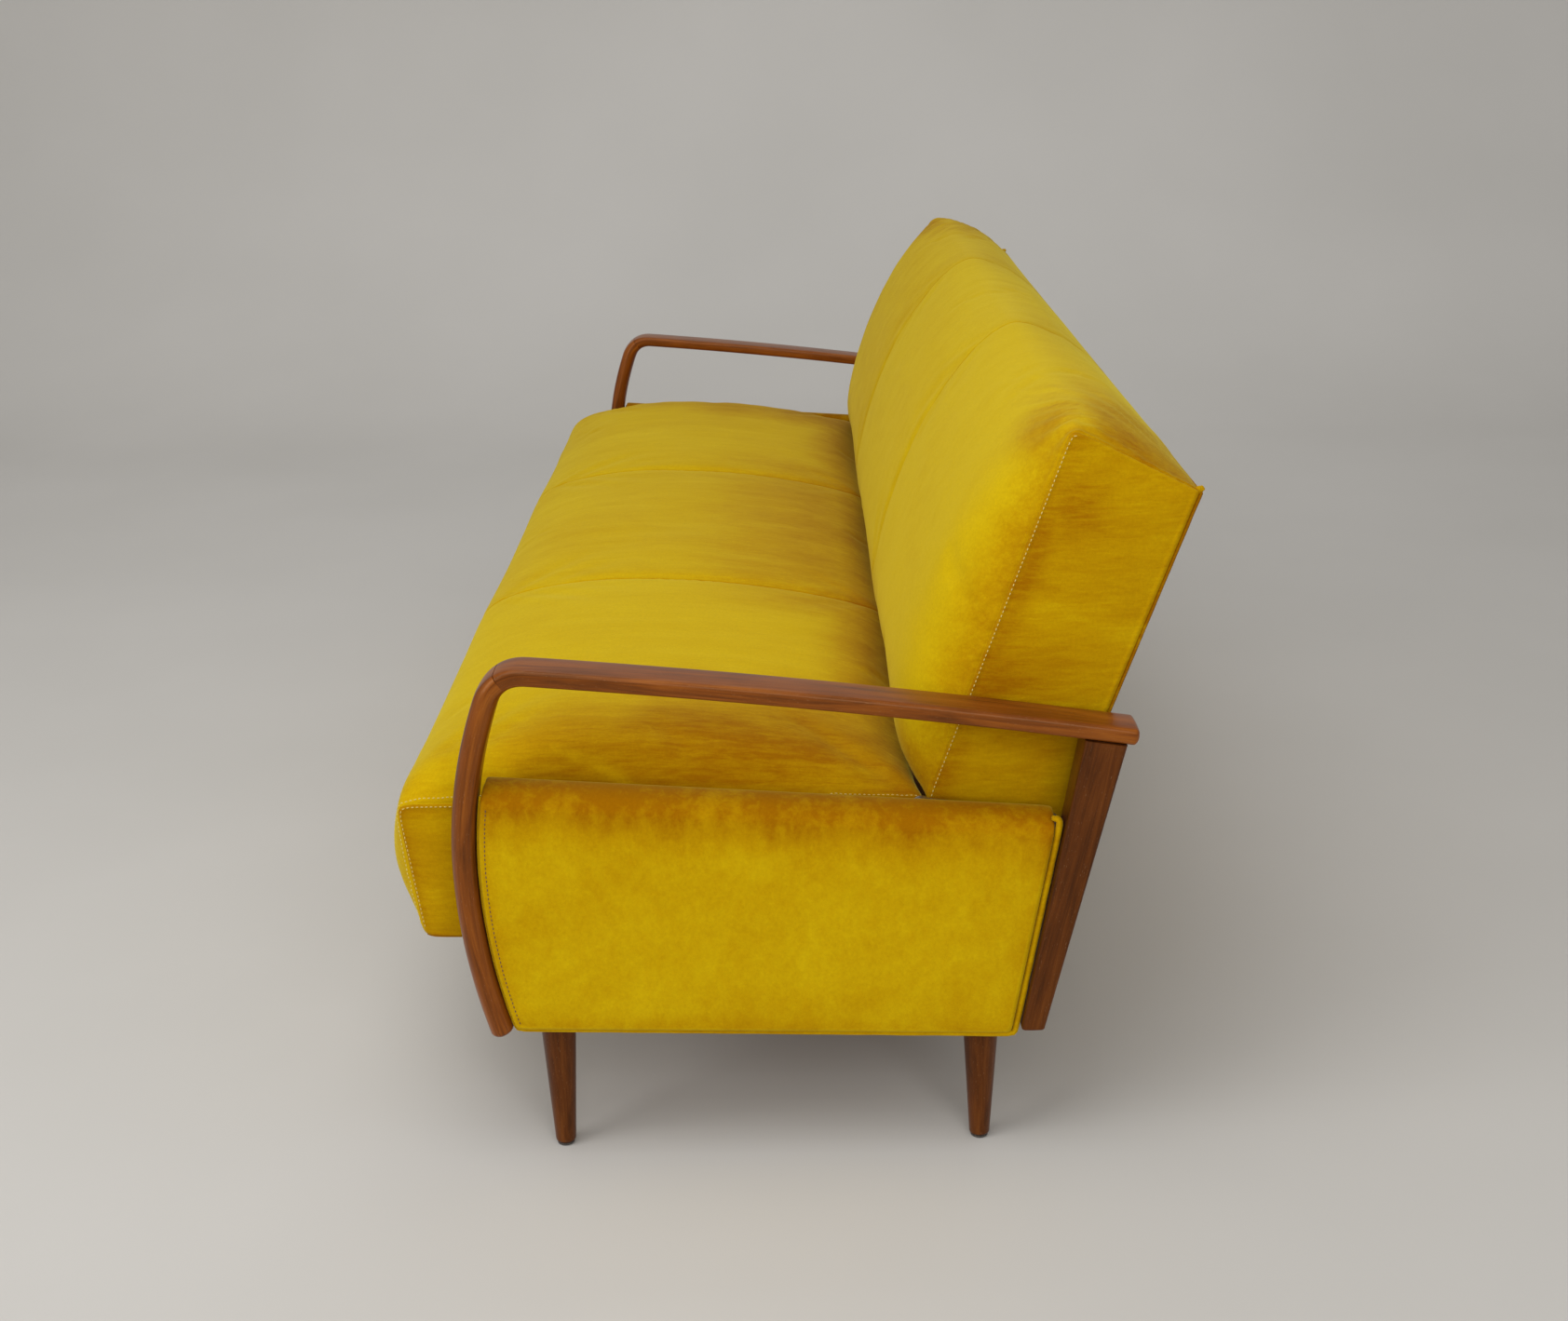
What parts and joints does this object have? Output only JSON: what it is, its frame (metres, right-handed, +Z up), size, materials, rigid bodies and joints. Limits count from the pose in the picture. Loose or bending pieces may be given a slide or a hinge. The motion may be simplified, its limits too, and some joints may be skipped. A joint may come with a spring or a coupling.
{
  "type": "sofa bed",
  "caption": "Upholstered sofa bed with bent wooden arm frames and tapered legs; the seat lifts over a shallow bedding box and the back lies down level with the seat.",
  "frame": {"origin": "on the floor, under the middle of the sofa's box", "axes": "+X to the sitter's left, -Y to the front, +Z up"},
  "size_m": [1.9, 0.8209, 0.7617],
  "materials": {
    "lacquered_wood": "reddish-brown stained wood under satin lacquer",
    "velvet": "mustard cut velvet with a fine cross rib and a mottled nap",
    "pine": "planed softwood, unfinished",
    "hardboard": "brown hardboard, smooth side up",
    "felt": "grey-beige felted padding",
    "lining": "plain unbleached cotton",
    "steel": "plain pressed steel",
    "glide_plastic": "dark moulded plastic"
  },
  "bodies": {
    "base": {"arm_rail_left": "lacquered_wood", "arm_rail_right": "lacquered_wood", "box_floor": "hardboard", "centre_bearer": "pine", "front_board": "pine", "front_post_left": "lacquered_wood", "front_post_right": "lacquered_wood", "hinge_bracket_left": "steel", "hinge_bracket_right": "steel", "hinge_pin_left": "steel", "hinge_pin_right": "steel", "leg_bolt_front_left": "steel", "leg_bolt_front_right": "steel", "leg_bolt_rear_left": "steel", "leg_bolt_rear_right": "steel", "leg_front_left": "lacquered_wood", "leg_front_right": "lacquered_wood", "leg_glide_front_left": "glide_plastic", "leg_glide_front_right": "glide_plastic", "leg_glide_rear_left": "glide_plastic", "leg_glide_rear_right": "glide_plastic", "leg_rear_left": "lacquered_wood", "leg_rear_right": "lacquered_wood", "rear_board": "pine", "rear_post_left": "lacquered_wood", "rear_post_right": "lacquered_wood", "side_board_left": "pine", "side_board_right": "pine", "side_pad_left": "velvet", "side_pad_right": "velvet", "side_piping_left": "velvet", "side_piping_right": "velvet"},
    "seat": {"seat_cover": "velvet", "seat_dust_cover": "lining", "seat_leaf_left": "steel", "seat_leaf_right": "steel", "seat_padding": "felt", "seat_rail_centre": "pine", "seat_rail_front": "pine", "seat_rail_left": "pine", "seat_rail_rear": "pine", "seat_rail_right": "pine", "seat_spring_1": "steel", "seat_spring_2": "steel", "seat_spring_3": "steel", "seat_spring_4": "steel"},
    "back": {"back_cover": "velvet", "back_leaf_left": "steel", "back_leaf_right": "steel", "back_padding": "felt", "back_rail_bottom": "pine", "back_rail_centre": "pine", "back_rail_left": "pine", "back_rail_right": "pine", "back_rail_top": "pine", "back_rear_panel": "velvet", "back_spring_1": "steel", "back_spring_2": "steel", "back_spring_3": "steel"}
  },
  "joints": [
    {"name": "seat_lift", "type": "hinge", "parent": "base", "child": "seat", "pos_m": [0, 0.14, 0.376], "axis": [-1, 0, 0], "range_deg": [0, 35]},
    {"name": "back_recline", "type": "hinge", "parent": "base", "child": "back", "pos_m": [0, 0.14, 0.376], "axis": [-1, 0, 0], "range_deg": [0, 69.5]}
  ]
}
